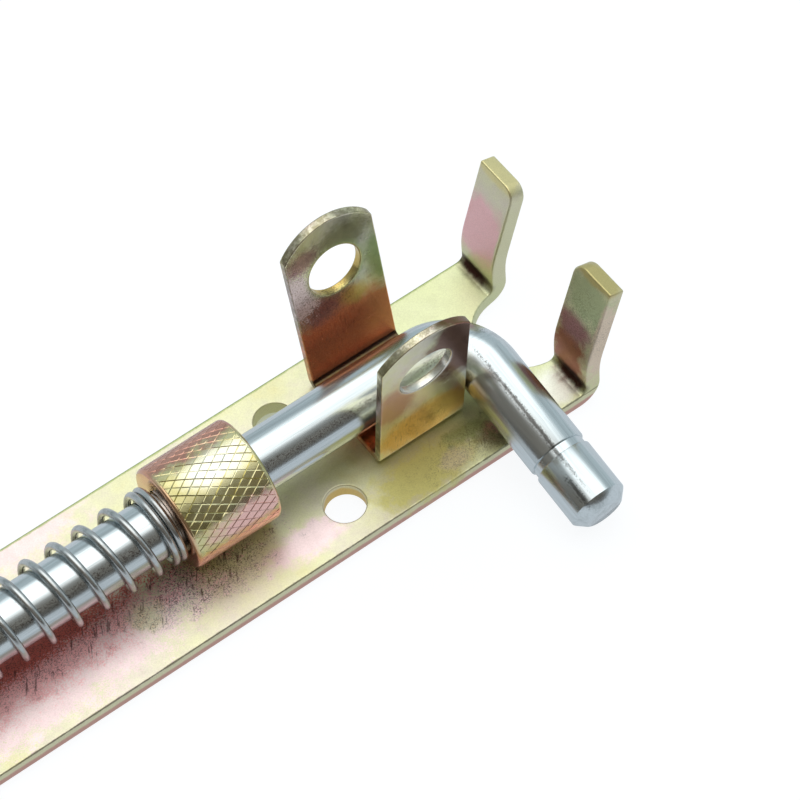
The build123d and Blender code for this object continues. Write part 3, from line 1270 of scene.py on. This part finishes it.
BRACKET_FINISH = PassivateFinish(
    name="passivate_bracket",
    thickness=0.44,
    clouding=0.7,
    cloud_scale=0.07,
    roughness=0.23,
    metallic=0.93,
    tints=(
        Tint((125, 18, 14), (34, 8, 24), BRICK, 1.5, 0.7, 0.22),
        Tint((125, -2, 6.6), (60, 11, 3.4), EMBER, 2, 0.4),
        # Painted shade: the crease of the far ear's fold darkened.
        Tint((125, 16.6, 6.6), (60, 2.6, 2.2), SOOT_AND_SHADE, 2.4, 0.2),
        Tint((118, 20, 31), (9, 6, 7), PLUM, 0.9, 0.8, 0, 1.2),
        Tint((129, 19, 30), (6, 6, 5), GOLD, 0.9, 0.8),
        Tint((138, 20, 38), (6, 6, 15), MOSS, 1, 0.8),
        Tint((113, 21, 39), (8, 6, 12), PETAL, 1.4, 0.8, 0.5, 1.2),
        Tint((129, 24, 51), (12, 6, 7), OLIVE, 0.8, 0.8, 0, 1.2),
        Tint((116, 23.5, 50), (7, 6, 5), PLUM, 0.8, 0.8, 0, 1.2),
        Tint((138, -16, 46), (17, 8, 20), TAUPE, 2.2, 0.7),
        Tint((115, -14, 34), (9, 6, 14), MAUVE, 1.3, 0.8),
        Tint((126, -13, 15), (20, 6, 12), HONEY, 1.5, 0.7),
        Tint((124.85, 23, 41.4), (10.4, 6, 10.4), MOSS, 3, 0.3),
    ),
    stains=(
        Tint((125, -13.5, 16), (11, 8, 12), UMBER, 0.5, 1.2),
        Tint((120, 20, 40), (16, 8, 20), UMBER, 0.8, 1.2),
    ),
    scratches=(
        Tint((122, -13.5, 17), (15, 6, 16), SOOT_AND_SHADE, 0.4, 1.2),
        Tint((122, 20, 30), (18, 6, 20), SOOT_AND_SHADE, 0.4, 1.2),
    ),
    plain_way=(0.0, 1.0, 0.0),
    cut_faces=CutFaces((0.0, 1.0, 0.0), FERN, 0.65),
    hole_walls=(
        Tint((124.85, 23, 41.4), (8.8, 6, 8.8), GOLD, 9, 0.1),
        # Painted highlight: the near padlock hole's wall laid near-white.
        Tint((124.85, -16, 41.4), (8.8, 6, 8.8), PALE, 9, 0.1),
    ),
)
BUSH_FINISH = PassivateFinish(
    name="passivate_bush",
    thickness=0.3,
    clouding=0.5,
    cloud_scale=0.09,
    roughness=0.2,
    tints=(
        Tint((60, 9.5, 30), (500, 8.5, 7), COCOA, 1.1, 1.6),
        # Painted shade: the bush's left end darkened where the overhead light doesn't reach.
        Tint((57, -5, 31), (12, 9, 9), OLIVE, 0.6, 0.9),
        # Painted highlight: near-white laid where the overhead light shines on the bush.
        Tint((71, -2.2, 32.7), (13, 6, 5), PALE, 0.6, 0.7),
        Tint((73, -13.6, 22.5), (16, 5, 6), PINK, 1, 1.5),
        Tint((60, -13.6, 14), (500, 4, 6), AMBER, 1.6, 0.8),
        Tint((56, 0, 18.6), (1.8, 40, 40), AMBER, 0.8, 0.8),
    ),
)
ROD_FINISH = BrightFinish(
    name="bright_zinc_rod",
    colour=(0.69, 0.745, 0.765, 1.0),
    stain=(0.5, 0.545, 0.555, 1.0),
    roughness=0.22,
    grain_scale=3.6,
    grain_strength=0.14,
    streaking=0.65,
    stretch=(0.03, 1.0, 1.0),
    handle_stretch=(1.0, 0.03, 1.0),
    stains=(
        Tint((0, -5.8, 24.1), (300, 1.6, 1.6), SOOT_AND_SHADE, 1, 1.2),
        Tint((100, 6.5, 23), (30, 1.2, 1.6), SLATE, 0.6, 0.9),
    ),
    handle_stains=(
        Tint((144.4, -30, 26.3), (1.1, 30, 3), SLATE, 2.2, 0.5),
        Tint((142.4, -54, 25.4), (1.2, 8, 3), SLATE, 2, 0.5),
    ),
    etched_lines=(
        Tint((144.5, -31, 26.3), (0.7, 26, 3), SLATE, 0.8, 1.5),
        Tint((142.5, -54, 25.4), (0.6, 6, 3), SLATE, 0.7, 1.5),
    ),
)
WIRE_FINISH = BrightFinish(
    name="spring_wire",
    colour=srgb(198, 201, 201),
    stain=srgb(166, 168, 167),
    roughness=0.25,
    grain_scale=3.0,
    grain_strength=0.1,
    streaking=0.3,
)


def main() -> None:
    """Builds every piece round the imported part."""
    logging.basicConfig(level=logging.INFO, format="%(message)s")
    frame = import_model()
    nodes = frame["nodes"]
    turn = next(joint for joint in frame["joints"] if joint["name"] == "handle_turn")
    axis_z = turn["pos_m"][2]
    effects = SharedEffects()
    for finish, name, node in (
        (PLATE_FINISH, "plate_passivated", "back_plate"),
        (BRACKET_FINISH, "bracket_passivated", "padlock_bracket"),
    ):
        FoldedSheet(effects, axis_z, finish).build(name, node, nodes[node])
    bush = KnurledBush(effects, axis_z, BUSH_FINISH)
    bush.build("front_bush_knurled", "front_bush")
    bush.build("rear_bush_knurled", "rear_bush")
    BoltRod(effects, axis_z, ROD_FINISH).build()
    CompressionSpring(effects, axis_z, WIRE_FINISH).build()
    seat = SpringSeat(effects, axis_z, ROD_FINISH)
    seat.build_washer()
    seat.build_pin()
    Studio().build()


if __name__ == "__main__":
    main()
